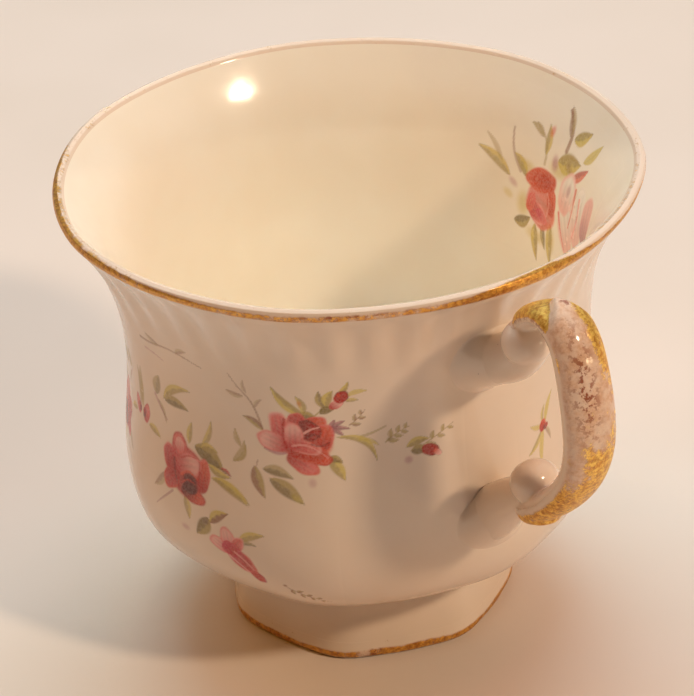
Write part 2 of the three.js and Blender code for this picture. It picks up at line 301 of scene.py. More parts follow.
def enamel_material(name, china):
    """Printed enamel over the glaze. The mesh's colours hold the picture, and their alpha where it is."""
    nodes = Nodes(bpy.data.materials.new(name))
    ground, rough = glaze_ground(nodes, china)
    picture = nodes.attribute("picture")
    cover = picture["Alpha"]
    grain = nodes.ramp(nodes.noise(0.35, detail=2), 0.3, 0.7, 0.86, 1.0)
    tinted = nodes.mix(nodes.math("MULTIPLY", cover, grain), ground, picture["Color"])
    nodes.bump(nodes.noise(3.2, detail=1), 0.012)
    return nodes.finish(tinted, nodes.math("ADD", rough, nodes.math("MULTIPLY", cover, 0.14)))


def gold_material(name, size, gold_dark, gold_light, metal_share):
    """Worn gold on china. The mesh's colours say how much there is of bright gold (red), of thin brown
    lustre where the gold is rubbed (green) and of dark specks (blue). size is the wear's grain in mm."""
    nodes = Nodes(bpy.data.materials.new(name))
    ground, rough = glaze_ground(nodes)
    amount = nodes.join_all([nodes.attribute("wear")["Color"]], nodes.add("ShaderNodeSeparateColor"))
    coarse = nodes.noise(size * 2.4, detail=3, roughness=0.6)
    fine = nodes.noise(size * 0.8, detail=4, roughness=0.75)
    patchy = nodes.math("ADD", nodes.math("MULTIPLY", coarse, 0.45), nodes.math("MULTIPLY", fine, 0.55))
    # Patches of the noise that cover about the share of bright gold.
    level, softness = nodes.ramp(amount[0], 0, 1, 0.68, 0.3), 0.08
    gold = nodes.ramp(patchy, nodes.math("SUBTRACT", level, softness), nodes.math("ADD", level, softness))
    lustre = nodes.math("MULTIPLY", amount[1], nodes.ramp(coarse, 0.3, 0.65, 0.45, 1.0))
    speck_noise = nodes.noise(1.0, detail=4, roughness=0.65)
    speck = nodes.math("MULTIPLY", nodes.ramp(speck_noise, 0.5, 0.58), amount[2])
    shade = nodes.ramp(fine, 0.35, 0.65)
    thin = nodes.mix(shade, linear(196, 134, 90), linear(222, 174, 134))
    bright = nodes.mix(shade, gold_dark, gold_light)
    colour = nodes.mix(lustre, ground, thin)
    colour = nodes.mix(gold, colour, bright)
    colour = nodes.mix(speck, colour, linear(142, 66, 30))
    metal = nodes.math("MULTIPLY", gold, nodes.math("SUBTRACT", 1.0, speck))
    surface = nodes.math("ADD", rough, nodes.math("MULTIPLY", gold, nodes.ramp(fine, 0.3, 0.7, 0.2, 0.32)))
    nodes.bump(nodes.math("ADD", nodes.math("MULTIPLY", gold, 0.6), nodes.math("MULTIPLY", fine, 0.4)), 0.01)
    return nodes.finish(colour, surface, nodes.math("MULTIPLY", metal, metal_share))


# The plain, handle and outer enamel glazes sit on the outer china with its painted shade; the inner glaze
# and inner enamel sit on the lighter inner china.
PLAIN_CHINA_PAINTED_SHADE = china_material("china_glaze_painted_shade")
INNER_GLAZE = china_material("inner_glaze", 0, INNER_CHINA)
HANDLE_CHINA = china_material("handle_glaze", 0.5)
ENAMEL = enamel_material("enamel", OUTER_CHINA_PAINTED_SHADE)
INNER_ENAMEL = enamel_material("inner_enamel", INNER_CHINA)
GOLD = gold_material("worn_gold", 0.8, linear(186, 118, 48), linear(236, 184, 88), 0.7)
FLECKED_GOLD = gold_material("flecked_gold", 0.75, linear(206, 138, 52), linear(255, 216, 112), 0.5)


# ---- bowl and foot ----
BOWL_COLUMNS = 504
INSIDE_ABOVE = 10  # faces above this height that look at the axis take the inner glaze
MIDDLE_RADIUS = 8  # and so do those that lie nearer the axis than this


def closed_turning(name, section, material, on_axis):
    """A turned solid. on_axis: the section starts and ends on the axis, or else it closes on itself."""
    section = np.asarray(section, float)
    rings = turned(section, np.arange(BOWL_COLUMNS) * 360 / BOWL_COLUMNS)
    if on_axis:
        points, faces = capped(rings[1:-1])
        points[-2:] = (0, 0, section[0, 1]), (0, 0, section[-1, 1])
    else:
        points = rings.reshape(-1, 3)
        faces = grid_faces(len(section) + 1, BOWL_COLUMNS, True) % len(points)
    return mesh_piece(name, points, faces, material)


OUTER = spline(OUTER_PROFILE, 118)
INNER = spline(INNER_PROFILE, 60)
bowl_section = [*BOWL_FLOOR, *OUTER, *INNER[:-1], (0, INNER_PROFILE[-1][1])]
bowl = closed_turning("bowl_china", bowl_section, PLAIN_CHINA_PAINTED_SHADE, True)
# The outer faces keep the china with painted shade; the faces inside take the lighter inner glaze.
bowl.data.materials.append(INNER_GLAZE)
for face in bowl.data.polygons:
    across = face.center.xy - AXIS.xy
    faces_in = face.normal.xy.dot(across) < 0 and face.center.z > INSIDE_ABOVE * MM
    if faces_in or across.length < MIDDLE_RADIUS * MM:
        face.material_index = 1
stand_for(bowl, "china", "bowl")

FOOT = np.maximum(spline(FOOT_PROFILE, 80), (0, 0))
foot = closed_turning("foot_ring_china", FOOT[::-1], PLAIN_CHINA_PAINTED_SHADE, False)
stand_for(foot, "china", "foot_ring")


def set_colours(piece, name, colours):
    """Colours with alpha, one for each vertex."""
    layer = piece.data.color_attributes.new(name, "FLOAT_COLOR", "POINT")
    layer.data.foreach_set("color", np.asarray(colours, np.float32).ravel())


def shell_faces(cells, count):
    """Faces of a shell: the cells, the same cells turned over on the points that follow the first count, and
    walls round the border."""
    cells = np.asarray(cells)
    edges = np.concatenate([cells[:, [k, (k + 1) % 4]] for k in range(4)])
    known = set(map(tuple, edges.tolist()))
    walls = [[b, a, a + count, b + count] for a, b in sorted(known) if (b, a) not in known]
    return cells.tolist() + (cells[:, ::-1] + count).tolist() + walls


def film(name, section, angles, material, fade=7):
    """A closed film over a patch of a turned wall, or right round it. Over its outer cells it dips into
    the glaze, so that its edge doesn't show. Returns the piece with each vertex's angle and row."""
    rows, columns = len(section), len(angles)
    closed = abs((angles[-1] - angles[0]) + (angles[1] - angles[0]) - 360) < 1e-6
    row, column = (grid.ravel() for grid in np.mgrid[0:rows, 0:columns])
    edge = np.minimum(row, rows - 1 - row)
    if not closed:
        edge = np.minimum(edge, np.minimum(column, columns - 1 - column))
    rise = (-FILM_SINK / 2 + (FILM + FILM_SINK / 2) * smoothstep(0, fade, edge)).reshape(rows, columns)
    sides = [turned(section, angles, lift).reshape(-1, 3) for lift in (rise, -FILM_SINK)]
    faces = shell_faces(grid_faces(rows, columns, closed), rows * columns)
    piece = mesh_piece(name, np.concatenate(sides), faces, material)
    return piece, np.tile(angles[column], 2), np.tile(row, 2)


# ---- handle ----
# Stations of x, z, half width across and half thickness in the handle's plane.
STRAP = [
    (44.7, 66.4, 1.2, 1.4), (46.4, 68.7, 2.3, 1.7), (49.4, 71.0, 3.0, 1.7), (53.0, 72.2, 3.4, 1.8),
    (56.4, 70.8, 3.6, 2.25), (58.7, 66.4, 3.8, 2.45), (60.0, 60.7, 3.9, 2.55), (60.1, 55.0, 3.8, 2.45),
    (58.3, 49.8, 3.6, 2.35), (55.0, 45.3, 3.5, 2.3), (51.2, 41.6, 3.4, 2.2), (48.2, 39.5, 3.2, 2.2),
    (46.0, 38.5, 2.6, 2.0), (44.8, 39.0, 1.7, 1.5),
]
UPPER_ARM = [
    (33.4, 57.6, 4.3, 4.3), (36.6, 58.3, 3.9, 4.0), (41.5, 60.2, 3.5, 3.5), (44.6, 62.3, 3.2, 3.1),
    (47.2, 64.6, 2.7, 2.3),
]
LOWER_ARM = [
    (34.2, 30.6, 4.3, 4.3), (36.4, 32.3, 3.9, 4.0), (39.4, 35.2, 3.5, 3.5), (42.8, 38, 3.2, 3.0),
    (46.6, 40.6, 2.8, 2.2),
]
UPPER_VOLUTE = (46.2, 65.3, 3.35, 3.9)  # x, z, radius, half width across
LOWER_VOLUTE = (46.9, 42.8, 3.2, 3.6)
HANDLE_VOXEL = 0.2
FLARE_SIDES, FLARE_TUCK, FLARE_ROOT = 96, 0.965, 0.8
FLARE_REACH = 0.6, 1.9  # how far past the arm the slip turns down, and where it ends on the wall
CREST_AT, CREST_SWEEP, CREST_RISE = 10.2, 3.4, 1.3  # along the strap, lag at its edges, height of the ridge
HEEL_AT, HEEL_RISE = 49.0, 0.6  # the lower end's ridge


def swept(stations, sides, samples, shape=2.0, swell=None):
    """Points around a bar, with the length along it and the half width of each ring."""
    path = spline(stations, samples)
    along = unit(np.gradient(path[:, :2], axis=0))
    out = np.stack([-along[:, 1], along[:, 0]], axis=1)
    length = length_along(path[:, :2])
    a = np.arange(sides) * 2 * math.pi / sides
    c = np.sign(np.cos(a)) * np.abs(np.cos(a)) ** (2 / shape)
    s = np.sign(np.sin(a)) * np.abs(np.sin(a)) ** (2 / shape)
    thick = path[:, 3, None] * c[None]
    across = -path[:, 2, None] * s[None]
    if swell:
        thick = thick + swell(length[:, None], across / path[:, 2, None]) * np.clip(c, 0, 1)[None] ** 0.6
    x = path[:, 0, None] + out[:, 0, None] * thick
    z = path[:, 1, None] + out[:, 1, None] * thick
    return np.stack([x, across, z], axis=-1), path, out, length


def ball(x, z, radius, half_width, steps=28, fullness=0.88):
    """A volute's eye: a ball, a little fuller than an ellipsoid."""
    t = np.linspace(0, math.pi, steps)[1:-1]
    r = radius * np.sin(t) ** fullness
    y = -half_width * np.cos(t)
    a = np.arange(2 * steps) * math.pi / steps
    x, z = x + r[:, None] * np.cos(a), z + r[:, None] * np.sin(a)
    return capped(np.stack([x, y[:, None] + 0 * x, z], -1))


def strap_swell(length, across):
    """The crest's ridge, swept back at its edges, and the smaller ridge at the lower end."""
    edge = np.abs(across)
    crest = length - CREST_AT - CREST_SWEEP * edge
    heel = HEEL_AT + 1.6 * edge - length
    rise = CREST_RISE * smoothstep(-0.9, 0.4, crest) * np.exp(-np.clip(crest, 0, None) / 6)
    rise = rise * (1 - 0.4 * edge**2)
    return rise + HEEL_RISE * smoothstep(-0.9, -0.1, -heel) * np.exp(-np.clip(-heel, 0, None) / 4)


def join_parts(parts):
    points, faces, start = [], [], 0
    for p, f in parts:
        points.append(p)
        faces += [[start + i for i in face] for face in f]
        start += len(p)
    return np.concatenate(points), faces


def modified(piece, *settings):
    """Applies modifiers to a piece, each given as its type and values."""
    for kind, values in settings:
        modifier = piece.modifiers.new(kind, kind)
        for key, value in values.items():
            setattr(modifier, key, value)
    bpy.context.view_layer.update()
    evaluated = piece.evaluated_get(bpy.context.evaluated_depsgraph_get())
    mesh = bpy.data.meshes.new_from_object(evaluated)
    piece.modifiers.clear()
    old, piece.data = piece.data, mesh
    bpy.data.meshes.remove(old)
    return piece


STRAP_POINTS, STRAP_PATH, STRAP_OUT, STRAP_LENGTH = swept(STRAP, 64, 260, 2.15, strap_swell)


def vertex_points(piece):
    """The piece's vertices in millimetres about the axis."""
    points = np.zeros(len(piece.data.vertices) * 3)
    piece.data.vertices.foreach_get("co", points)
    return (points.reshape(-1, 3) - np.array(AXIS)) / MM


def seat_on_wall(piece):
    """Pushes roots that would show inside the bowl back to the middle of its wall."""
    points = vertex_points(piece)
    wall, lining = OUTER[OUTER[:, 1] < FLUTE_HEIGHTS[2]], INNER[np.argsort(INNER[:, 1])]
    outer, inner = (np.interp(points[:, 2], side[:, 1], side[:, 0]) for side in (wall, lining))
    push = np.maximum(1, (outer + inner) / 2 / np.hypot(points[:, 0], points[:, 1]))
    points[:, :2] *= push[:, None]
    piece.data.vertices.foreach_set("co", placed(points).ravel())
    piece.data.update()


def make_handle():
    arms = [capped(swept(stations, 40, 60)[0]) for stations in (UPPER_ARM, LOWER_ARM)]
    parts = [capped(STRAP_POINTS), *arms, ball(*UPPER_VOLUTE), ball(*LOWER_VOLUTE)]
    handle = mesh_piece("handle_china", *join_parts(parts), HANDLE_CHINA)
    modified(
        handle,
        ("REMESH", {"mode": "VOXEL", "voxel_size": HANDLE_VOXEL * MM, "use_smooth_shade": True}),
        ("SMOOTH", {"factor": 0.5, "iterations": 7}),
    )
    seat_on_wall(handle)
    return handle


def on_wall(points):
    """Points moved out or in to the bowl's outer surface."""
    height = points[:, 2]
    radius = np.interp(height, OUTER[:, 1], OUTER[:, 0])
    angle = np.degrees(np.arctan2(points[:, 1], radius))
    radius, a = radius + relief(angle, height, True), np.radians(angle)
    return np.stack([radius * np.cos(a), radius * np.sin(a), height], axis=1)


def flare(name, stations, share, material):
    """The slip round an arm's root. It lands on the wall along the wall, and leaves along the arm at that
    share of the arm's length, where its end tucks just under the arm's surface."""
    ring = swept(stations, FLARE_SIDES, 60)[0]
    k = int(share * 59)
    centre = ring[k].mean(axis=0)
    end = centre + (ring[k] - centre) * FLARE_TUCK
    arm_way, spread = unit(ring[k] - ring[k - 4]), unit(ring[0] - ring[0].mean(axis=0))
    near, far = (on_wall(ring[0] + spread * reach) for reach in FLARE_REACH)
    outward = unit(far * (1, 1, 0))
    start = far - outward * 0.05
    rows = [start - outward * FLARE_ROOT]
    for t in np.linspace(0, 1, 26):
        h00, h10 = 2 * t**3 - 3 * t**2 + 1, t**3 - 2 * t**2 + t
        h01, h11 = -2 * t**3 + 3 * t**2, t**3 - t**2
        rows.append(h00 * start + h10 * (near - far) * 1.6 + h01 * end + h11 * arm_way * 3.6)
    return mesh_piece(name, *capped(np.stack(rows)), material)


handle = make_handle()
stand_for(handle, "china", "handle")
stand_for(flare("upper_joint_slip", UPPER_ARM, 0.51, HANDLE_CHINA), "slip", "upper_handle_joint")
stand_for(flare("lower_joint_slip", LOWER_ARM, 0.34, HANDLE_CHINA), "slip", "lower_handle_joint")


# ---- gold ----
RIM_GOLD_ABOVE = 70.6  # height
FOOT_GOLD_BELOW, FOOT_GOLD_OUTSIDE = 3.2, 20.9  # height and radius
HANDLE_GOLD_SINK = 0.05


def bump_at(value, middle, half):
    """1 at the middle, fading to 0 at a distance of half."""
    return falling(0, half, np.abs(value - middle))


def turn_from(angle, middle):
    """Degrees from the middle, from -180 to 180."""
    return (np.asarray(angle) - middle + 180) % 360 - 180


def near_angle(angle, middle, half):
    return bump_at(turn_from(angle, middle), 0, half)


def gild(piece, node, gold, lustre, specks):
    """Lays the three shares of the gold's wear, and on the rim its painted reflection, on a film of gold."""
    set_colours(piece, "wear", np.stack([gold, lustre, specks, np.ones_like(gold)], 1))
    stand_for(piece, "gilding", node)


def resampled(section, count):
    """A section with that many points, evenly spread over those it has."""
    at, old = np.linspace(0, len(section) - 1, count), np.arange(len(section))
    return np.stack([np.interp(at, old, section[:, k]) for k in (0, 1)], 1)


def gild_rim():
    angles = np.arange(BOWL_COLUMNS * 2) * 180 / BOWL_COLUMNS
    fine = resampled(OUTER[OUTER[:, 1] > RIM_GOLD_ABOVE], 42)
    piece, angle, row = film("rim_gold", fine, angles, GOLD, fade=2)
    r, z = fine[row, 0], fine[row, 1]
    inner = np.where(r < 42.2, 1.0, 0.0)
    wave = 0.28 * np.sin(np.radians(angle * 7 + 40)) + 0.2 * np.sin(np.radians(angle * 23))
    # front lowers the bright gold toward the viewer: partly worn gold, partly painted reflection of the dark
    # room that the gold mirrors there.
    front = near_angle(angle, -31, 34)
    bright = near_angle(angle, 6, 20)
    left = near_angle(angle, -110, 60)
    lower = smoothstep(70.95, 71.45, z + 0.3 * wave + 0.25 * (bright + left)) * (1 - inner)
    upper = falling(72.15, 72.55, z + 0.12 * wave - 0.7 * (bright + left))
    band = lower * np.where(inner > 0, 0, upper)
    gold = band * (0.7 - 0.2 * front + 0.3 * bright)
    edge = (1 - band) * smoothstep(72.3, 72.9, z)
    right_inside = near_angle(angle, 30, 75) + 0.5 * near_angle(angle, 180, 70)
    gold += edge * (0.08 + 0.34 * inner * right_inside + 0.35 * left)
    lustre = band * (0.75 + 0.2 * (bright + left))
    specks = band * smoothstep(71.6, 72.2, z) * (0.3 + 0.7 * near_angle(angle, -33, 14))
    gild(piece, "rim_gilding", gold, lustre, specks)


def gild_foot():
    keep = (FOOT[:, 1] < FOOT_GOLD_BELOW) & (FOOT[:, 0] > FOOT_GOLD_OUTSIDE)
    fine = resampled(FOOT[keep][::-1], 34)
    angles = np.arange(BOWL_COLUMNS) * 360 / BOWL_COLUMNS
    piece, angle, row = film("foot_gold", fine, angles, GOLD, fade=2)
    z = fine[row, 1]
    wave = 0.3 * np.sin(np.radians(angle * 5)) + 0.2 * np.sin(np.radians(angle * 17 + 50))
    band = smoothstep(0.25, 0.5, z) * falling(1.35, 1.85, z + 0.4 * wave)
    gap = near_angle(angle, -35, 4)
    gold = band * (0.68 - 0.5 * gap)
    specks = band * (0.3 + 0.7 * near_angle(angle, -30, 5))
    gild(piece, "foot_gilding", gold, band * (1 - 0.6 * gap), specks)


def strap_place(points):
    """Length along the strap of points on the handle, and how far across and out, where 1 is the surface."""
    flat = points[:, [0, 2]]
    nearest = np.empty(len(points), int)
    for start in range(0, len(points), 4000):
        gap = flat[start:start + 4000, None] - STRAP_PATH[None, :, :2]
        nearest[start:start + 4000] = np.argmin((gap**2).sum(-1), axis=1)
    away = flat - STRAP_PATH[nearest, :2]
    out = (away * STRAP_OUT[nearest]).sum(1) / STRAP_PATH[nearest, 3]
    across = points[:, 1] / STRAP_PATH[nearest, 2]
    return STRAP_LENGTH[nearest], across, out


def gild_handle():
    points, mesh = vertex_points(handle), handle.data
    normals, faces = np.zeros(len(mesh.vertices) * 3), np.zeros(len(mesh.loops), int)
    mesh.vertices.foreach_get("normal", normals)
    mesh.loops.foreach_get("vertex_index", faces)
    normals, faces = normals.reshape(-1, 3), faces.reshape(-1, 4)
    length, across, out = strap_place(points)
    highest = np.where(length > HEEL_AT - 4, 1.5, 2.2)  # the crest stands high, and past the heel is the arm
    open_air = (out > -0.3) & (out < highest) & (np.abs(across) < 1.3)
    open_air &= (length > 0.6) & (length < STRAP_LENGTH[-1] - 1.2)
    used, cells = np.unique(faces[open_air[faces].all(axis=1)], return_inverse=True)
    sides = [points[used] + normals[used] * lift for lift in (FILM, -HANDLE_GOLD_SINK)]
    faces = shell_faces(cells.reshape(-1, 4), len(used))
    piece = mesh_piece("handle_gold", np.concatenate(sides), faces, FLECKED_GOLD)
    s, y, o = (np.tile(v[used], 2) for v in (length, across, out))
    ridge = s - CREST_AT - CREST_SWEEP * np.abs(y)
    face = smoothstep(0.0, 0.35, o)
    facet = falling(-0.8, -0.2, ridge)
    scroll_tip = falling(1.2, 2.4, s)
    worn_ridge = bump_at(ridge, -0.1, 1.3) * bump_at(y, -0.35, 0.8)
    far_edge = smoothstep(-0.05, 0.5, y) * falling(15, 27, s + 6 * (0.6 - y))
    far_glow = smoothstep(-0.1, 0.7, y) * bump_at(s, 28, 7)
    low = smoothstep(26.5, 32, s + 2 * np.abs(y - 0.15))
    low = low * (1 - 0.8 * bump_at(y, -0.8, 0.5) * falling(33, 39, s))
    heel = smoothstep(49.4, 52, s)
    facet_face = facet * (1 - scroll_tip)
    gold = np.maximum.reduce([
        0.98 * facet_face, 0.85 * far_edge, 0.52 * far_glow, 0.72 * low, 0.95 * heel, 0.1 + 0 * s])
    gold = gold * (1 - 0.9 * worn_ridge)
    near_line = bump_at(o, 0.25, 0.22) * bump_at(s, 17.5, 5) * (y < 0)
    gold = np.maximum(gold * face, 0.6 * near_line)
    lustre = (0.7 + 0.25 * far_edge - 0.2 * facet) * face * (1 - 0.7 * worn_ridge)
    tip_ring = bump_at(ridge, 0.7, 1.2) * bump_at(y, 0.12, 0.4)
    facet_line = bump_at(o, 0.1, 0.3) * facet_face * (y < 0)
    specks = np.maximum.reduce([
        bump_at(s, 21, 12) * bump_at(y, -0.35, 0.8), 0.9 * tip_ring, 0.35 * low * (1 - heel)]) * face
    specks = np.maximum(specks, 0.6 * facet_line)
    gild(piece, "handle_gilding", gold, lustre, specks)


gild_rim()
gild_foot()
gild_handle()


# ---- enamel flowers ----
MM_PER_DEGREE = 0.611  # along the wall
SPRAY_REACH = 25  # how far a spray goes to either side of its flower
PALE, PINK, ROSE = linear(242, 182, 176), linear(228, 110, 108), linear(200, 60, 62)
CORAL, ORANGE_RED, RED = linear(220, 82, 52), linear(204, 58, 18), linear(180, 24, 8)
DARK_RED, MAGENTA, MAUVE = linear(114, 16, 8), linear(206, 60, 90), linear(180, 112, 128)
YELLOW_GREEN, OLIVE, DARK_OLIVE = linear(212, 192, 96), linear(176, 154, 84), linear(130, 110, 52)
GREY_GREEN, BROWN, WHITE = linear(188, 168, 120), linear(150, 104, 70), linear(250, 243, 236)

# A leaf's light and dark side.
FRESH, LIT, FADED = (YELLOW_GREEN, OLIVE), (YELLOW_GREEN, YELLOW_GREEN), (GREY_GREEN, OLIVE)
DEEP, DRY, RUSTY = (OLIVE, DARK_OLIVE), (GREY_GREEN, BROWN), (OLIVE, BROWN)


class Picture:
    """Enamel laid stroke by stroke over points of a wall, in millimetres to the right and up."""

    def __init__(self, right, up):
        self.right, self.up = np.asarray(right, float), np.asarray(up, float)
        self.colour, self.cover = np.zeros((len(right), 3)), np.zeros(len(right))
        self.x, self.y = self.right, self.up

    def about(self, right, up, mirror=1, scale=1.0):
        """The strokes that follow are measured from here."""
        self.x, self.y = (self.right - right) * mirror / scale, (self.up - up) / scale
        return self

    def lay(self, mask, colour):
        under = self.cover * (1 - mask)
        total = mask + under
        share = np.divide(mask, total, out=np.zeros_like(mask), where=total > 1e-6)[:, None]
        self.colour = self.colour * (1 - share) + np.broadcast_to(colour, self.colour.shape) * share
        self.cover = total

    def within(self, at, size, turn):
        """Place in an ellipse of half lengths size: along it and across it, from -1 to 1."""
        c, s = math.cos(math.radians(turn)), math.sin(math.radians(turn))
        x, y = self.x - at[0], self.y - at[1]
        return (x * c + y * s) / size[0], (y * c - x * s) / size[1]

    def smudge(self, at, size, turn, colour, cover=0.6):
        along, across = self.within(at, size, turn)
        self.lay(cover * falling(0.2, 1.0, np.hypot(along, across)), colour)

    def petal(self, at, size, turn, root, tip, rim=None, cover=0.95):
        """A petal that runs from its root at -size to its tip, with fine veins and a paler or darker rim."""
        along, across = self.within(at, size, turn)
        wave = 0.05 * np.sin(along * 5 + at[0]) * np.sin(across * 4 + at[1])
        edge = np.hypot(along, across) + wave
        shade = smoothstep(-0.9, 0.6, along)[:, None]
        colour = root * (1 - shade) + tip * shade
        veins = 0.5 + 0.5 * np.sin(across * 13 + along * 2.5 + at[0] * 3)
        colour = colour * (1 - 0.16 * (veins * falling(0.3, 1, edge))[:, None])
        if rim is not None:
            ring = (smoothstep(0.66, 0.93, edge) * smoothstep(-0.6, 0.2, along))[:, None]
            colour = colour * (1 - 0.8 * ring) + rim * 0.8 * ring
        self.lay(cover * falling(0.84, 1.03, edge), colour)

    def leaf(self, root, tip, width, tones, bend=0.1, cover=0.85):
        """A pointed leaf, lighter on one side of its vein."""
        light, dark = tones
        chord = np.subtract(tip, root)
        length = float(np.hypot(*chord))
        way = chord / length
        x, y = self.x - root[0], self.y - root[1]
        t = (x * way[0] + y * way[1]) / length
        inside = np.clip(t, 0, 1)
        off = (y * way[0] - x * way[1]) - bend * length * 4 * inside * (1 - inside)
        half = width * np.sin(math.pi * inside**0.8) ** 0.9 + 0.05
        s = off / half
        mask = smoothstep(-0.06, 0.04, t) * falling(0.96, 1.05, t)
        mask *= falling(0.7, 1.1, np.abs(s))
        side = smoothstep(-0.25, 0.25, s + 0.15 * np.sin(t * 23))[:, None]
        colour = dark * (1 - side) + light * side
        vein = (falling(0.04, 0.2, np.abs(s)) * (1 - inside) * 0.6)[:, None]
        self.lay(cover * mask, colour * (1 - vein) + dark * 0.7 * vein)

    def twig(self, points, width, colour, cover=0.8):
        """A thin line through points that tapers towards its end."""
        path = spline(points, 40)
        gap = np.full(len(self.x), 1e9)
        for k, (px, py) in enumerate(path):
            taper = 1 - 0.5 * k / 39
            gap = np.minimum(gap, np.hypot(self.x - px, self.y - py) / (width / 2 * taper))
        self.lay(cover * falling(0.7, 1.3, gap), colour)

    def fern(self, points, count, reach, tones):
        """A twig with small leaves on both its sides."""
        path = spline(points, 60)
        self.twig(points, 0.22, tones[1], 0.7)
        for k in range(count):
            i = int(6 + 50 * k / count)
            way = path[i + 1] - path[i - 1]
            way /= np.hypot(*way)
            side = 1 if k % 2 else -1
            out = way * 0.75 + np.array([-way[1], way[0]]) * side * 0.8
            size = reach * (1 - 0.45 * k / count)
            self.leaf(path[i], path[i] + out * size, 0.2 * size + 0.1, tones, 0.06 * side, 0.8)


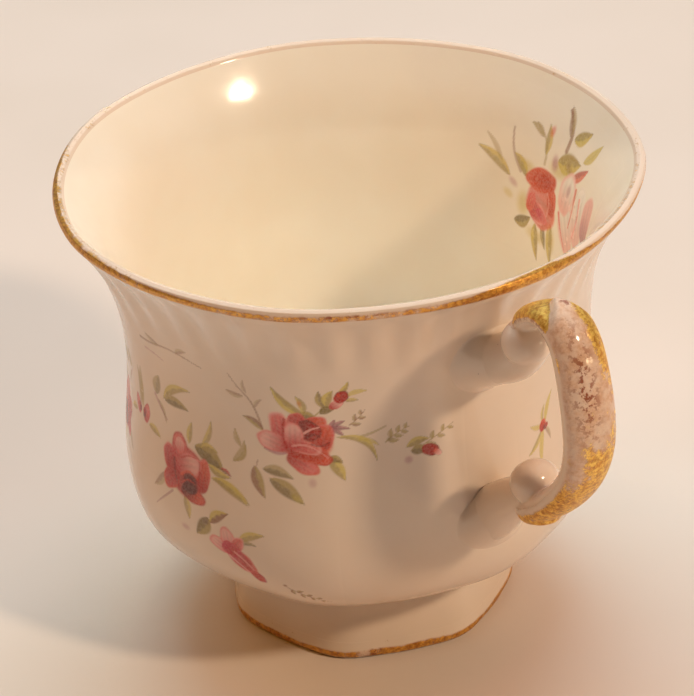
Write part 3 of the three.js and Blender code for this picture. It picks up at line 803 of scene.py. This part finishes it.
def paint_front_spray(p):
    p.twig([(-5.5, 0.7), (-6.2, 3.3), (-7.1, 5.3), (-8.7, 7.2), (-9.8, 9.2)], 0.42, BROWN, 0.6)
    p.leaf((-8, 5.6), (-10.9, 6.1), 0.45, DRY, 0.1, 0.6)
    p.leaf((-7.5, 6.3), (-7.6, 8.6), 0.3, DRY, 0.1, 0.5)
    p.leaf((-6.4, 4), (-5, 5.8), 0.3, DRY, 0.1, 0.5)
    p.leaf((-5.4, 0.4), (-8.5, 2.1), 0.65, RUSTY, -0.1, 0.8)
    p.leaf((-10.8, -6.1), (-8.7, -2.2), 0.75, FADED, -0.15, 0.8)
    p.leaf((-9.3, -3.4), (-10.1, -0.5), 0.5, FADED, 0.1, 0.7)
    p.twig([(-6.6, -4.9), (-7, -6.4)], 0.25, BROWN, 0.5)
    p.leaf((-7.2, -6), (-5.6, -10.8), 1.05, RUSTY, -0.06)
    p.leaf((-5.8, -6.1), (-1.2, -6.9), 0.95, (GREY_GREEN, DARK_OLIVE))
    p.leaf((-4.8, -7.5), (0.3, -10.8), 1.25, DEEP, 0.06)
    p.smudge((-0.8, -10), (1.3, 0.7), -35, YELLOW_GREEN)
    p.leaf((-14.2, -9.9), (-8.4, -12.8), 0.85, FRESH, 0.06, 0.8)
    p.leaf((1.2, 3.8), (-3.4, 8.5), 0.85, FRESH, 0.12, 0.9)
    p.leaf((1, 4.2), (0, 7.2), 0.6, FRESH, -0.1, 0.8)
    p.smudge((0.5, 5.9), (0.45, 0.9), 10, ORANGE_RED, 0.45)
    p.leaf((0.1, 3.5), (2.8, 3.3), 0.75, DEEP, 0.2, 0.9)
    # the upper bud
    p.twig([(2.3, 3.6), (3.8, 5.2), (5.6, 6.2)], 0.3, OLIVE, 0.7)
    p.leaf((3.9, 5.3), (3.3, 8.3), 0.6, DEEP)
    p.leaf((4.2, 5.6), (5.2, 8.4), 0.75, FRESH, 0.1, 0.9)
    p.leaf((6, 7.8), (7.4, 9.9), 0.4, FRESH, -0.1, 0.9)
    p.leaf((7.2, 7.4), (10, 8.1), 0.45, LIT, 0.1, 0.75)
    p.leaf((7, 6.4), (8.7, 6.5), 0.35, FRESH, 0.1, 0.75)
    p.leaf((3.2, 4.4), (5.4, 5.2), 0.7, (DARK_OLIVE, DARK_OLIVE), 0.1, 0.9)
    p.petal((5.6, 5.9), (1.25, 0.75), 35, ROSE, PALE, PINK)
    p.petal((6.35, 7.2), (1.3, 1), 50, RED, RED, DARK_RED, 1)
    p.smudge((6, 7.5), (0.35, 0.6), 10, CORAL, 0.7)
    # the sprigs to the right
    for tip in ((7.3, 1.6), (6.6, 3.0), (6.4, 0.4), (5.2, 3.2), (4.9, 0.3)):
        p.leaf((4.6, 1.7), tip, 0.38, (MAUVE, MAUVE * 0.6), 0.05, 0.8)
    p.smudge((5.2, 1.7), (0.9, 0.6), 0, MAUVE * 0.7, 0.7)
    p.fern([(7.3, 2.2), (8.3, 3.1), (9.5, 4.6)], 4, 1.2, DRY)
    p.twig([(8.8, 0.1), (10.6, 0.7), (12.3, 1.5)], 0.5, GREY_GREEN, 0.7)
    p.fern([(12.2, -1.2), (13.4, -0.2), (15.8, 1)], 6, 1.5, FADED)
    p.smudge((12.9, -0.7), (0.8, 0.6), 30, DARK_OLIVE, 0.5)
    p.leaf((5.4, 0.2), (10.9, -4.2), 0.6, FRESH, 0.24)
    p.leaf((8.2, -0.3), (11.3, -1.6), 0.4, LIT, 0.1, 0.7)
    # the right bud
    p.leaf((15.2, -2.5), (18.6, -1.7), 0.7, FRESH, 0.12, 0.9)
    p.leaf((15.8, -3.2), (18.2, -3.6), 0.9, DEEP, 0.1, 0.9)
    p.fern([(17.6, -2.6), (19.6, -1.5), (22.4, 0.2)], 5, 1.4, FADED)
    p.smudge((15.4, -4.6), (0.9, 0.9), 0, MAUVE, 0.55)
    p.petal((18.7, -3.6), (1.5, 1.05), -20, RED, RED, DARK_RED, 1)
    p.petal((19.7, -4.2), (0.75, 0.5), -35, CORAL, PALE, PALE)
    # below the rose
    p.leaf((4.2, -3.4), (6.2, -6.9), 0.95, FRESH, 0.05, 0.9)
    p.leaf((4, -3.2), (6, -4), 0.6, DEEP, 0.1, 0.95)
    p.smudge((1.6, -7.3), (0.9, 1.1), 0, MAUVE, 0.4)
    # the rose
    p.leaf((-1.8, -2.7), (-5.6, -2.6), 0.7, (MAUVE, ROSE * 0.7), 0, 0.7)
    p.petal((0.8, -0.6), (4.2, 3.4), -20, ROSE, CORAL, None, 0.9)
    p.petal((-2.7, 1.6), (2.7, 1.75), 103, ROSE, PINK, PALE)
    p.petal((-4, -1.2), (2.6, 1.75), 170, ROSE, PALE, PINK)
    p.petal((-0.2, 2.6), (1.8, 1.5), 80, RED, ROSE, PINK)
    p.petal((2.2, 2.4), (2.2, 1.35), 25, RED, CORAL, PINK)
    p.petal((3.4, 0.2), (2.5, 1.7), 75, RED, CORAL, PINK)
    p.petal((0.3, -4.3), (2.8, 1.6), -28, RED, PINK, CORAL)
    p.petal((2.8, -3.2), (2, 1.3), -20, DARK_RED, CORAL, RED)
    p.petal((1.5, 1.2), (1.9, 1.8), 0, DARK_RED, RED, DARK_RED)
    p.petal((0.9, -2.2), (3.6, 1.9), -17, RED, ORANGE_RED, CORAL)
    p.petal((0.5, -1.5), (3, 1.2), -14, ROSE, PINK, PALE, 0.8)
    p.petal((-0.8, 0.4), (2.3, 1.6), 95, ROSE, PALE, PINK)
    p.twig([(-2, 2.9), (-2.3, 0.8), (-2.1, -1.2), (-1.2, -2.4)], 0.45, RED)
    p.twig([(0.3, 2.6), (1.4, 3), (2.5, 2.4)], 0.4, DARK_RED)
    p.twig([(0.8, 0.8), (2, 1.6), (3, 1.9)], 0.42, PALE)
    p.twig([(1.2, 0.2), (2.3, 0.6), (3, 0.3)], 0.45, DARK_RED)
    p.twig([(-1, -1.5), (0.8, -1.2), (2.5, -2), (4, -3.2)], 0.35, PALE, 0.6)
    p.twig([(1.8, -1), (3.2, -1.2), (4.3, -0.6)], 0.4, DARK_RED, 0.6)


def paint_left_spray(p):
    p.twig([(-7, 19.2), (-4.4, 19.3), (-1.6, 19.8), (2.1, 19.7), (5.6, 18.9)], 0.5, BROWN, 0.65)
    p.leaf((-2.6, 19.6), (-5.2, 20.9), 0.5, DRY, 0.1, 0.6)
    p.leaf((1, 19.8), (3.4, 20.9), 0.45, DRY, 0.1, 0.6)
    p.twig([(-6.5, 17.5), (-4.4, 17.4), (-2.5, 16.9)], 0.35, MAUVE, 0.5)
    p.leaf((-10.2, 5.4), (-9.9, 12.6), 0.8, FADED, 0.06, 0.75)
    p.leaf((-5.9, 9.7), (-4.6, 13.4), 1, (GREY_GREEN, GREY_GREEN * 0.7), 0.06)
    p.leaf((-4.1, 9.7), (2.3, 13.3), 0.8, FRESH, 0.14, 0.9)
    p.leaf((-3.8, 9.6), (1.3, 9.7), 0.95, DEEP, 0.1, 0.9)
    p.twig([(-6.2, 9.6), (-5.2, 8), (-3.6, 6.2)], 0.45, MAUVE, 0.6)
    p.leaf((-5.6, 9), (-3.9, 5.6), 0.35, RUSTY, 0.1, 0.6)
    p.petal((-9.1, 4.8), (1.9, 0.95), 75, ROSE, PINK, RED)
    p.petal((-9.8, 4.6), (1, 0.5), 80, DARK_RED, RED, DARK_RED)
    p.leaf((-8.4, 3.4), (-5.4, 2.4), 0.7, FRESH)
    p.leaf((1, 4.2), (1.8, 8), 0.6, FRESH, 0.05, 0.8)
    p.leaf((3.6, 4.8), (5.7, 9.6), 0.55, FRESH, -0.08, 0.75)
    p.leaf((2.2, 4.3), (7.6, 2), 1.65, DEEP, 0.1, 0.95)
    p.leaf((3.4, 4.4), (6.6, 4.6), 0.7, FRESH, 0.15, 0.8)
    p.leaf((4.8, 2.2), (8.8, 1.2), 0.7, FRESH, -0.1, 0.9)
    p.leaf((7, 2.2), (8.9, 1.4), 0.4, (ROSE, BROWN))
    p.leaf((5.4, 0.2), (12, -2.3), 0.75, FRESH)
    p.leaf((-4.2, -2.6), (-6.6, -5.6), 0.7, DRY, 0.1, 0.6)
    p.twig([(-2.4, -4.8), (-4.6, -7), (-6.2, -8.6)], 0.4, MAUVE * 0.8, 0.55)
    p.leaf((0.2, -4.6), (1, -8.2), 0.7, FRESH, 0.05, 0.75)
    # the rose
    p.petal((0.2, -0.5), (4.5, 4.2), 90, RED, ROSE, None, 0.95)
    p.petal((-1, 2.9), (2.6, 1.75), 90, ROSE, PINK, RED)
    p.petal((-1, 3.1), (1.5, 1), 90, PINK, PALE, PALE, 0.8)
    p.petal((-3, 0.2), (2.6, 1.6), 110, RED, ROSE, PINK)
    p.petal((-2.6, -2.6), (2.4, 1.7), 235, RED, ROSE, CORAL)
    p.petal((3.7, -0.2), (3.1, 1.5), 85, RED, CORAL, PINK)
    p.petal((1.9, -3.9), (2.6, 1.4), -8, DARK_RED, CORAL, RED)
    p.petal((0.8, 0.5), (2.9, 2), 20, ROSE, PALE, PINK)
    p.petal((1.2, -2.2), (1.9, 1.75), 90, DARK_RED * 0.7, DARK_RED, RED, 1)
    p.twig([(-0.6, -1.4), (0.8, -0.5), (2.6, -1)], 0.5, CORAL, 0.85)
    p.twig([(-0.3, -2.6), (0.8, -1.8), (2.1, -2)], 0.35, ORANGE_RED, 0.7)
    p.twig([(-2.4, 1.6), (-1, 1.2), (0.6, 2), (2.4, 2.2)], 0.45, ROSE)
    p.twig([(-2.2, 0.6), (-1.9, -1.6), (-1.3, -3.4)], 0.45, DARK_RED, 0.6)
    p.twig([(3, 1.8), (3.1, -0.4), (2.9, -2.2)], 0.35, RED, 0.6)


def paint_rosebud(p):
    p.leaf((-4.8, 6), (-7.4, 2.4), 1.25, DEEP, 0.06, 0.9)
    p.smudge((-5.4, 5.2), (1, 0.8), 30, BROWN * 0.6)
    p.leaf((-4.6, 5.4), (-1.3, 7.9), 0.95, (YELLOW_GREEN, BROWN), 0.1, 0.9)
    p.smudge((-9.6, 2.6), (1.2, 0.8), 0, MAUVE, 0.4)
    p.leaf((0.4, 4), (4.6, 5.9), 0.75, FRESH, 0.08)
    p.leaf((0.2, 3.4), (3.2, 3.8), 0.4, DEEP, 0.1, 0.7)
    p.petal((-2.9, 2.2), (2.2, 1.3), 160, PINK, PALE, PINK)
    p.petal((-1.5, 3.5), (2.3, 1.35), 105, PINK, PALE, PINK)
    p.petal((-0.1, 2.9), (1.9, 1.1), 60, ROSE, PINK, PALE)
    p.petal((0.3, 0.4), (3.1, 1.7), -42, MAGENTA, ROSE, PINK)
    p.petal((-1.3, 1.9), (1.6, 1.35), -35, MAGENTA, ROSE, MAGENTA, 1)
    p.twig([(-1.6, 0.6), (0.2, -0.8), (2.2, -2.4)], 0.4, PALE)
    p.twig([(-0.6, 1.6), (1, 0.4), (2.7, -1.6)], 0.35, PALE)
    p.petal((2.7, -2.2), (1.5, 0.95), -45, ROSE, ROSE, MAUVE)
    p.smudge((6.9, -2.8), (0.5, 0.4), 0, BROWN, 0.8)
    p.fern([(7.2, -3.2), (10.2, -4.8), (13.2, -6.1)], 7, 1.1, DRY)


def paint_handle_side_spray(p):
    p.leaf((0.4, 0.4), (2.6, 4.6), 0.5, LIT, 0.06)
    p.leaf((-0.2, 0.6), (0.5, 3.2), 0.35, FRESH, 0.1, 0.75)
    p.leaf((-0.5, 0.2), (-3, 1.2), 0.4, LIT, 0.1, 0.75)
    p.leaf((-0.4, -0.4), (-4, -3.2), 0.45, FRESH, 0.08, 0.8)
    p.leaf((-0.1, -0.6), (-1.4, -5.8), 0.5, LIT, -0.06, 0.8)
    p.leaf((0.3, -0.5), (1.4, -2.8), 0.35, RUSTY, 0.1, 0.6)
    p.petal((-0.2, 0.1), (1.05, 0.8), 50, RED, ORANGE_RED, CORAL, 1)
    p.petal((0.5, -0.3), (0.7, 0.45), 20, DARK_RED, RED, ORANGE_RED)


def paint_inner_spray(p):
    for place, size in (((4.2, -2.8), (2.0, 2.6)), ((-2.6, 4.6), (3.2, 1.6)), ((0.6, -6.4), (3.4, 1.5)),
                        ((-3.8, -5.6), (1.5, 2.8)), ((4.4, 2.6), (2.4, 1.3))):
        p.smudge(place, size, 0, YELLOW_GREEN)
    p.leaf((7.6, 0.3), (13.9, 3.1), 0.85, FRESH, 0.05, 0.8)
    p.leaf((9.4, 1.8), (12.8, 5.2), 0.4, FADED, 0.05, 0.5)
    p.smudge((6.8, -0.4), (1.5, 0.8), 20, MAUVE, 0.45)
    p.twig([(5.6, 1.6), (7.6, 4), (8.4, 6.9)], 0.6, BROWN, 0.5)
    p.leaf((4, 1.2), (7.4, 3.7), 0.8, FRESH, 0.08)
    p.twig([(0.9, 4.2), (1.4, 6.4), (4.6, 8.6)], 0.5, OLIVE, 0.55)
    p.leaf((1.2, 5.4), (2.2, 9.2), 0.7, FRESH, 0.08, 0.8)
    p.leaf((2.6, 7.4), (5.6, 8.4), 0.5, FADED, 0.08, 0.7)
    p.smudge((1.3, 8.5), (0.7, 1.1), 0, CORAL)
    p.smudge((-1.3, 5.1), (1.1, 1.6), -20, MAUVE, 0.65)
    p.twig([(-2.8, 7.4), (-2.6, 9.4), (-0.2, 11.9)], 0.75, BROWN, 0.75)
    p.leaf((-2.4, 9.2), (-0.2, 12.4), 0.6, DRY, 0.05, 0.7)
    p.leaf((-3.4, 9.2), (-6.4, 11.2), 1, FRESH, 0.08, 0.9)
    p.leaf((-7.6, 7.8), (-9.8, 11.2), 0.8, LIT, 0.08)
    p.leaf((-1.8, 5.6), (-7.2, 7.2), 1.6, FRESH, 0.05, 0.95)
    p.smudge((-4.8, 5.6), (1.6, 0.8), 10, BROWN, 0.5)
    p.leaf((-6.2, 4.8), (-9.6, 7.6), 0.75, (CORAL, RED), 0.05)
    p.leaf((5.9, -5.9), (2.2, -4.2), 1, DEEP, 0.1, 0.9)
    p.leaf((0.9, -4.6), (0.2, -10.2), 0.9, FRESH, 0.05)
    p.leaf((-3.2, -3), (-3.8, -9.6), 1, FRESH, 0.05)
    p.leaf((-1, -4), (-2, -7.6), 0.7, DEEP, 0.05, 0.8)
    p.smudge((7.6, -2.3), (1.5, 0.9), 15, YELLOW_GREEN, 0.5)
    # the white rose, striped with pink
    p.petal((-7.8, -1.6), (4.8, 2.6), 60, PALE, WHITE, PALE)
    p.petal((-11.2, 1.2), (4.6, 2.6), 75, PALE, WHITE, WHITE)
    p.petal((-14.4, 2.4), (3.6, 2.2), 80, MAUVE, PALE, PALE)
    p.petal((-6.2, 2.6), (3.2, 2.4), 100, PALE, WHITE, PALE)
    p.smudge((-6.4, 3.2), (0.9, 1.3), 10, MAUVE, 0.5)
    p.twig([(-8.4, 4.2), (-8.8, 1.4), (-8.6, -1.2)], 0.6, CORAL, 0.7)
    p.twig([(-5, -0.6), (-6.4, -2.8), (-8.2, -4.8)], 0.55, PINK)
    p.twig([(-10.2, 3.6), (-11, 0.8), (-10.4, -2)], 0.5, PINK, 0.7)
    # the coral rose
    p.petal((-0.2, -1.6), (4.1, 3.4), 15, CORAL, PINK, PINK, 0.85)
    p.petal((-2.6, -0.2), (2.2, 1.3), 80, ORANGE_RED, CORAL, ORANGE_RED)
    p.petal((0.6, -2.9), (2.5, 1.6), 190, ROSE, PINK, PALE)
    p.petal((-0.6, -3), (1.7, 0.9), -160, MAGENTA, PINK, PINK)
    p.petal((2.4, -1.9), (1.7, 1), 110, CORAL, PINK, PINK)
    p.petal((0.6, 1.9), (3.9, 1.8), -10, ORANGE_RED, CORAL, CORAL, 0.95)
    p.petal((0.6, 1.8), (2.4, 1.1), -10, RED, ORANGE_RED, ORANGE_RED, 0.7)
    p.twig([(-1.8, -2.4), (-2, -0.6), (-1.2, 0.8)], 0.4, PALE, 0.5)


def paint_outside(picture):
    """All the sprays outside, each about its own flower."""
    for paint, angle, height, mirror, scale in (
        (paint_left_spray, -110.5, 38.5, -1, 0.9), (paint_rosebud, -62, 25, 1, 1),
        (paint_left_spray, -77.7, 37.6, 1, 1), (paint_front_spray, -44.8, 47.9, 1, 1),
        (paint_handle_side_spray, 18, 41, 1, 1), (paint_front_spray, 119, 48, -1, 1),
        (paint_rosebud, 166, 32, -1, 1),
    ):
        away = turn_from(picture.right / MM_PER_DEGREE, angle) * MM_PER_DEGREE
        near = np.abs(away) < SPRAY_REACH
        part = Picture(away[near], picture.up[near]).about(0, height, mirror, scale)
        part.colour, part.cover = picture.colour[near], picture.cover[near]
        paint(part)
        picture.colour[near], picture.cover[near] = part.colour, part.cover


PRINT_COLUMN, PRINT_ROW = 0.28, 0.17  # degrees and millimetres
PRINT_LAP = 5  # cells by which neighbours lap over their border


def transfer(name, node, wall, angles, heights, paint):
    """A printed film over a patch of wall."""
    lap = PRINT_LAP * PRINT_COLUMN
    columns = np.arange(angles[0] - lap, angles[1] + lap, PRINT_COLUMN)
    lap = PRINT_LAP * PRINT_ROW
    rows = np.arange(heights[0] - lap, heights[1] + lap, PRINT_ROW)
    rising = wall[np.argsort(wall[:, 1])]
    section = np.stack([np.interp(rows, rising[:, 1], rising[:, 0]), rows], 1)
    if wall is INNER:
        section = section[::-1]
    piece, angle, row = film(name, section, columns, ENAMEL if wall is OUTER else INNER_ENAMEL)
    picture = Picture(angle * MM_PER_DEGREE, section[row, 1])
    paint(picture)
    set_colours(piece, "picture", np.concatenate([picture.colour, picture.cover[:, None]], 1))
    stand_for(piece, "enamel", node)


for name, node, angles, heights in (
    ("front_rose_print", "front_rose_transfer", (-64, -6), (33.5, 59.5)),
    ("left_rose_print", "left_rose_transfer", (-98, -64), (33.5, 60.5)),
    ("rosebud_print", "rosebud_transfer", (-98, -37), (15, 33.5)),
    ("side_rose_print", "side_rose_transfer", (-132, -98), (27, 60.5)),
    ("handle_side_print", "handle_side_transfer", (9, 27), (33, 46)),
    ("rear_rose_print", "rear_rose_transfer", (93, 146), (35.5, 59.5)),
    ("rear_bud_print", "rear_bud_transfer", (148, 182), (24, 41)),
):
    transfer(name, node, OUTER, angles, heights, paint_outside)
transfer("inner_rose_print", "inner_rose_transfer", INNER, (58, 114), (45.5, 70.2),
         lambda p: paint_inner_spray(p.about(89.6 * MM_PER_DEGREE, 56.9, scale=1.08)))


# ---- camera, light and floor ----
VIEW_ANGLE = -30  # the camera's direction from the axis
VIEW_ELEVATION = 31.4
VIEW_DISTANCE = 480
VIEW_TARGET_HEIGHT = 36
VIEW_PAN, VIEW_TILT, VIEW_ROLL = 0.195, 0.598, -3.31  # degrees off looking straight at the target, upright
LENS, SENSOR = 165.06, 36
TABLE_HALF = 3.0  # metres
TABLE_FADE = 0.3, 0.9  # metres from the cup over which the table turns into the backdrop
LIGHT_AIM = 40  # the height that the lights face
BACKDROP = linear(229, 211, 196)


def from_viewer(right, away, up):
    """A direction given as the viewer sees it, turned into the frame."""
    a = math.radians(VIEW_ANGLE)
    toward = Vector((math.cos(a), math.sin(a), 0))
    side = Vector((-math.sin(a), math.cos(a), 0))
    return side * right - toward * away + Vector((0, 0, up))


def make_camera():
    e = math.radians(VIEW_ELEVATION)
    target = AXIS + Vector((0, 0, VIEW_TARGET_HEIGHT * MM))
    forward = from_viewer(0, math.cos(e), -math.sin(e))
    place = target - forward * VIEW_DISTANCE * MM
    right = from_viewer(1, 0, 0)
    up = right.cross(forward)
    a, b, r = map(math.radians, (VIEW_PAN, VIEW_TILT, VIEW_ROLL))
    right, forward = right * math.cos(a) + forward * math.sin(a), forward * math.cos(a) - right * math.sin(a)
    up, forward = up * math.cos(b) - forward * math.sin(b), up * math.sin(b) + forward * math.cos(b)
    right, up = right * math.cos(r) + up * math.sin(r), up * math.cos(r) - right * math.sin(r)
    data = bpy.data.cameras.new("camera")
    data.sensor_fit = "HORIZONTAL"
    data.sensor_width = SENSOR
    data.lens = LENS
    data.clip_start, data.clip_end = 0.01, 50
    camera = bpy.data.objects.new("camera", data)
    camera.matrix_world = Matrix((
        (right.x, up.x, -forward.x, place.x), (right.y, up.y, -forward.y, place.y),
        (right.z, up.z, -forward.z, place.z), (0, 0, 0, 1)))
    bpy.context.scene.collection.objects.link(camera)
    bpy.context.scene.camera = camera


def area_light(name, direction, distance, size, watts, colour, seen, beam):
    """A soft round light that faces the cup. Only a seen light shows in the glaze."""
    data = bpy.data.lights.new(name, "AREA")
    data.shape, data.size, data.energy, data.color = "DISK", size, watts, colour
    data.spread = math.radians(beam)
    light = bpy.data.objects.new(name, data)
    light.visible_glossy = seen
    light.visible_camera = False
    aim = AXIS + Vector((0, 0, LIGHT_AIM * MM))
    way = from_viewer(*direction).normalized()
    light.location = aim + way * distance
    light.rotation_euler = way.to_track_quat("Z", "Y").to_euler()
    bpy.context.scene.collection.objects.link(light)


def make_stage():
    """A pale table that fades into the backdrop far from the cup."""
    nodes = Nodes(bpy.data.materials.new("pale_table"))
    nodes.shader.inputs["Specular IOR Level"].default_value = 0.2
    clouds = nodes.ramp(nodes.noise(60, detail=2), 0.3, 0.7)
    cloth = nodes.mix(clouds, linear(224, 213, 203), linear(228, 217, 208))
    away = nodes.join_all([nodes.place["Object"]], nodes.add("ShaderNodeVectorMath", operation="LENGTH"))
    fade = nodes.ramp(away["Value"], *TABLE_FADE)
    material = nodes.finish(nodes.mix(fade, cloth, (0, 0, 0)), 0.6)
    nodes.shader.inputs["Emission Color"].default_value = (*BACKDROP, 1)
    nodes.join(fade, nodes.shader.inputs["Emission Strength"])
    mesh = bpy.data.meshes.new("table")
    s = TABLE_HALF
    mesh.from_pydata([(-s, -s, 0), (s, -s, 0), (s, s, 0), (-s, s, 0)], [], [(0, 1, 2, 3)])
    mesh.materials.append(material)
    table = bpy.data.objects.new("table", mesh)
    bpy.context.scene.collection.objects.link(table)


def make_sky(world):
    """A soft glow from behind and above the cup, before a plain pale backdrop."""
    nodes = Nodes(world)
    source = from_viewer(0, 0.8, 1.2).normalized()
    facing = nodes.add("ShaderNodeVectorMath", operation="DOT_PRODUCT")
    facing = nodes.join_all((nodes.place["Generated"], source), facing)["Value"]
    strength = nodes.math("MULTIPLY", nodes.math("POWER", nodes.math("MAXIMUM", facing), 5), 1.2)
    sky = nodes.join_all(((0.9, 1, 0.975, 1), strength), nodes.add("ShaderNodeBackground"))
    backdrop = nodes.join_all([(*BACKDROP, 1)], nodes.add("ShaderNodeBackground"))
    seen = nodes.add("ShaderNodeLightPath").outputs["Is Camera Ray"]
    mixed = nodes.join_all((seen, sky[0], backdrop[0]), nodes.add("ShaderNodeMixShader"))
    nodes.join(mixed[0], nodes.tree.nodes["World Output"].inputs["Surface"])


def make_light():
    bpy.context.scene.view_settings.view_transform = "Standard"
    world = bpy.data.worlds.new("room")
    make_sky(world)
    bpy.context.scene.world = world
    for name, direction, distance, size, watts, colour, seen, beam in (
        ("warm_lamp", (0.65, -0.475, 0.592), 1, 0.09, 4.5, (1, 0.76, 0.53), True, 180),
        ("low_lamp", (0.82, -0.567, 0.075), 1, 0.09, 0.5, (1, 0.75, 0.45), True, 180),
        ("back_ceiling", (0, 0.7, 1.6), 1.3, 1, 10.4, (0.5, 0.92, 1), False, 180),
        ("back_right", (0.8, 0.8, 1.2), 1.3, 1, 2.9, (1, 0.2, 0.06), False, 180),
        ("left_wall", (-1, 0.1, 0.8), 1.3, 1, 4.2, (1, 0.4, 0.02), False, 180),
        ("ceiling", (0, 0.1, 1), 1.3, 1, 2.4, (1, 0.05, 0.02), False, 180),
        ("ceiling_spot", (-0.15, 0.2, 1), 0.5, 0.04, 0.004, (1, 0.75, 0.42), False, 9),
    ):
        area_light(name, direction, distance, size, watts, colour, seen, beam)


make_camera()
make_stage()
make_light()

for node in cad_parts.values():
    if node.hide_render:
        continue
    node.data.materials.clear()
    node.data.materials.append(PLAIN_CHINA_PAINTED_SHADE)
